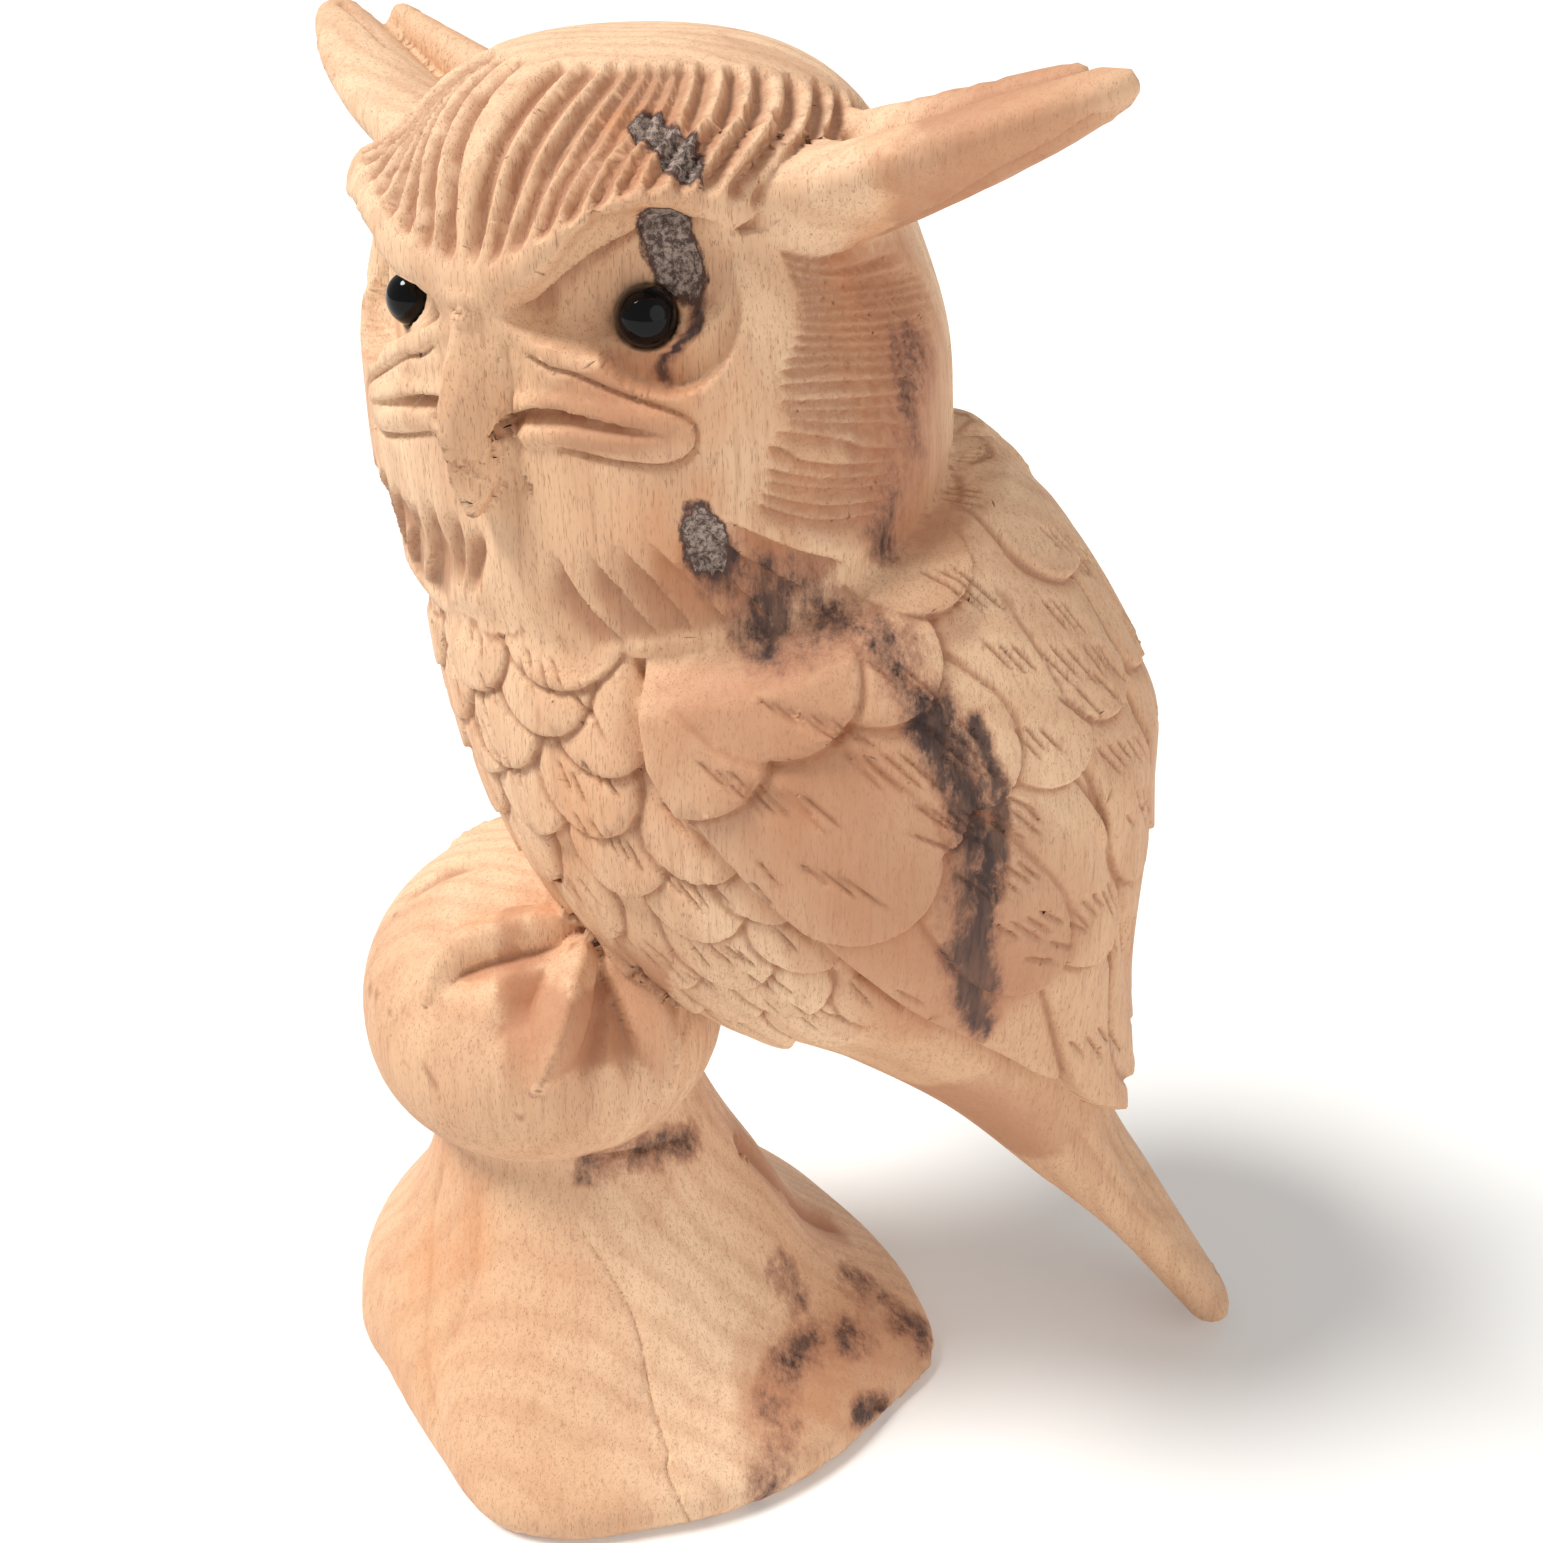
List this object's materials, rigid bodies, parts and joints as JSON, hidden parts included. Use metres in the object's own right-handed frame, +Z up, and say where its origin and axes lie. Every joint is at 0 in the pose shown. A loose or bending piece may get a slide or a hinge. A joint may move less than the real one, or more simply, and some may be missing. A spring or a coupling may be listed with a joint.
{
  "type": "carved wooden owl",
  "caption": "Horned owl carved from one block of pale brown wood, perched on its stump with its head turned to its left, with black glass bead eyes",
  "frame": {"origin": "middle of the flat underside of the stump", "axes": "+Z up, the body faces -Y, the owl's own left is +X"},
  "size_m": [0.1224, 0.1986, 0.2835],
  "materials": {
    "carved_wood": "fine-sanded bare wood with a thin satin wax",
    "black_glass": "gloss"
  },
  "bodies": {
    "root": {"owl_carving": "carved_wood", "eye_left": "black_glass", "eye_right": "black_glass"}
  },
  "joints": []
}
